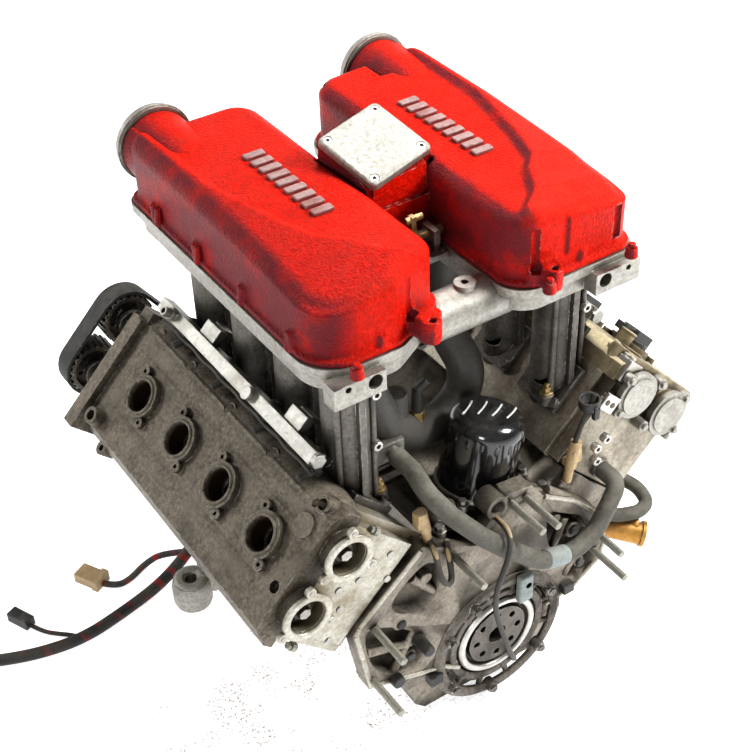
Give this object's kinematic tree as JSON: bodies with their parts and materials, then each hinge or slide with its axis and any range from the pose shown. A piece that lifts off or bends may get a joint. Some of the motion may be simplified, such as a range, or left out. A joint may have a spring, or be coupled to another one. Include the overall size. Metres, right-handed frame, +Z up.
{
  "type": "v8 engine",
  "caption": "Complete 90-degree V8 petrol engine with twin cam heads, red intake plenums, belts, ducts, filter and wiring harness.",
  "frame": {"origin": "centre of the flywheel flange face on the crank axis", "axes": "+Y along the crank from the flywheel end to the belt end, +Z up, +X to the right bank"},
  "size_m": [1.0843, 0.659, 0.6868],
  "materials": {
    "cast_block": "sand-cast, dusty",
    "cast_head": "sand-cast, brownish",
    "gold_cast": "sand-cast, aged",
    "silver_cast": "shot-blasted",
    "dark_cast": "dark cast",
    "red_paint": "wrinkle paint, dusty",
    "iron": "as cast",
    "steel": "machined",
    "dark_steel": "oiled",
    "zinc": "zinc plated",
    "brass": "passivated",
    "black_gloss": "gloss black",
    "black_plastic": "satin",
    "tan_plastic": "satin",
    "rubber": "matt, dusty",
    "grey_rubber": "matt, dusty",
    "orange_pipe": "heat stained",
    "white_ceramic": "glazed"
  },
  "bodies": {
    "engine": {"engine_block": "cast_block", "cylinder_liners": "iron", "main_bearings": "steel", "sump": "cast_block", "rear_seal_carrier": "cast_block", "rear_studs": "zinc", "timing_case": "cast_block", "timing_cover": "cast_block", "right_cam_end_covers": "silver_cast", "head_gaskets": "dark_steel", "spark_plugs": "white_ceramic", "ignition_coils": "black_plastic", "inlet_rings": "silver_cast", "centre_box": "red_paint", "centre_cover": "silver_cast", "centre_cover_screws": "steel", "balance_pipe": "silver_cast", "resonance_duct": "rubber", "oil_filter": "black_gloss", "filter_housing": "cast_block", "coolant_hose": "grey_rubber", "heater_hose": "grey_rubber", "water_fittings": "silver_cast", "outlet_elbow": "orange_pipe", "bypass_bracket": "silver_cast", "sensors": "tan_plastic", "intake_runners": "dark_cast", "fuel_rails": "silver_cast", "injectors": "black_plastic", "engine_mounts": "cast_block", "harness_trunk": "rubber", "harness_coil": "rubber", "harness_end_plug": "black_plastic", "harness_long_branch": "rubber", "pale_connector": "tan_plastic", "harness_short_branch": "rubber", "black_connector": "black_plastic", "left_head": "cast_head", "left_cam_cover": "cast_block", "left_timing_belt": "rubber", "left_plenum": "red_paint", "left_intake_base": "silver_cast", "right_head": "cast_head", "right_cam_cover": "gold_cast", "right_timing_belt": "rubber", "right_plenum": "red_paint", "right_intake_base": "silver_cast"},
    "crank": {"crankshaft": "dark_steel", "crank_pulley": "dark_steel"},
    "bypass_shaft": {"bypass_lever": "brass"},
    "left_jackshaft_body": {"left_jackshaft": "steel"},
    "left_intake_cam": {"left_intake_camshaft": "iron"},
    "left_exhaust_cam": {"left_exhaust_camshaft": "iron"},
    "left_outer_piston_pair": {"left_outer_pistons": "silver_cast"},
    "left_inner_piston_pair": {"left_inner_pistons": "silver_cast"},
    "right_jackshaft_body": {"right_jackshaft": "steel"},
    "right_intake_cam": {"right_intake_camshaft": "iron"},
    "right_exhaust_cam": {"right_exhaust_camshaft": "iron"},
    "right_outer_piston_pair": {"right_outer_pistons": "silver_cast"},
    "right_inner_piston_pair": {"right_inner_pistons": "silver_cast"}
  },
  "joints": [
    {"name": "crank_spin", "type": "hinge", "parent": "engine", "child": "crank", "pos_m": [0, 0, 0], "axis": [0, 1, 0], "continuous": true},
    {"name": "left_jackshaft_spin", "type": "hinge", "parent": "engine", "child": "left_jackshaft_body", "pos_m": [-0.06505, 0, 0.06505], "axis": [0, 1, 0], "continuous": true},
    {"name": "left_intake_cam_spin", "type": "hinge", "parent": "engine", "child": "left_intake_cam", "pos_m": [-0.20966, 0, 0.2641], "axis": [0, 1, 0], "continuous": true},
    {"name": "left_exhaust_cam_spin", "type": "hinge", "parent": "engine", "child": "left_exhaust_cam", "pos_m": [-0.2641, 0, 0.20966], "axis": [0, 1, 0], "continuous": true},
    {"name": "left_outer_stroke", "type": "slide", "parent": "engine", "child": "left_outer_piston_pair", "axis": [-0.7071, 0, 0.7071], "range_m": [-0.0385, 0.0385]},
    {"name": "left_inner_stroke", "type": "slide", "parent": "engine", "child": "left_inner_piston_pair", "axis": [-0.7071, 0, 0.7071], "range_m": [-0.0385, 0.0385]},
    {"name": "right_jackshaft_spin", "type": "hinge", "parent": "engine", "child": "right_jackshaft_body", "pos_m": [0.06505, 0, 0.06505], "axis": [0, 1, 0], "continuous": true},
    {"name": "right_intake_cam_spin", "type": "hinge", "parent": "engine", "child": "right_intake_cam", "pos_m": [0.20966, 0, 0.2641], "axis": [0, 1, 0], "continuous": true},
    {"name": "right_exhaust_cam_spin", "type": "hinge", "parent": "engine", "child": "right_exhaust_cam", "pos_m": [0.2641, 0, 0.20966], "axis": [0, 1, 0], "continuous": true},
    {"name": "right_outer_stroke", "type": "slide", "parent": "engine", "child": "right_outer_piston_pair", "axis": [0.7071, 0, 0.7071], "range_m": [-0.0385, 0.0385]},
    {"name": "right_inner_stroke", "type": "slide", "parent": "engine", "child": "right_inner_piston_pair", "axis": [0.7071, 0, 0.7071], "range_m": [-0.0385, 0.0385]},
    {"name": "bypass_turn", "type": "hinge", "parent": "engine", "child": "bypass_shaft", "pos_m": [0, 0.17, 0.482], "axis": [1, 0, 0], "range_deg": [0, 75]}
  ],
  "couplings": [
    {"joint": "left_jackshaft_spin", "follows": "crank_spin", "ratio": -0.5},
    {"joint": "left_intake_cam_spin", "follows": "crank_spin", "ratio": -0.5},
    {"joint": "left_exhaust_cam_spin", "follows": "crank_spin", "ratio": -0.5},
    {"joint": "left_inner_stroke", "follows": "left_outer_stroke", "ratio": -1},
    {"joint": "right_jackshaft_spin", "follows": "crank_spin", "ratio": -0.5},
    {"joint": "right_intake_cam_spin", "follows": "crank_spin", "ratio": -0.5},
    {"joint": "right_exhaust_cam_spin", "follows": "crank_spin", "ratio": -0.5},
    {"joint": "right_inner_stroke", "follows": "right_outer_stroke", "ratio": -1}
  ]
}
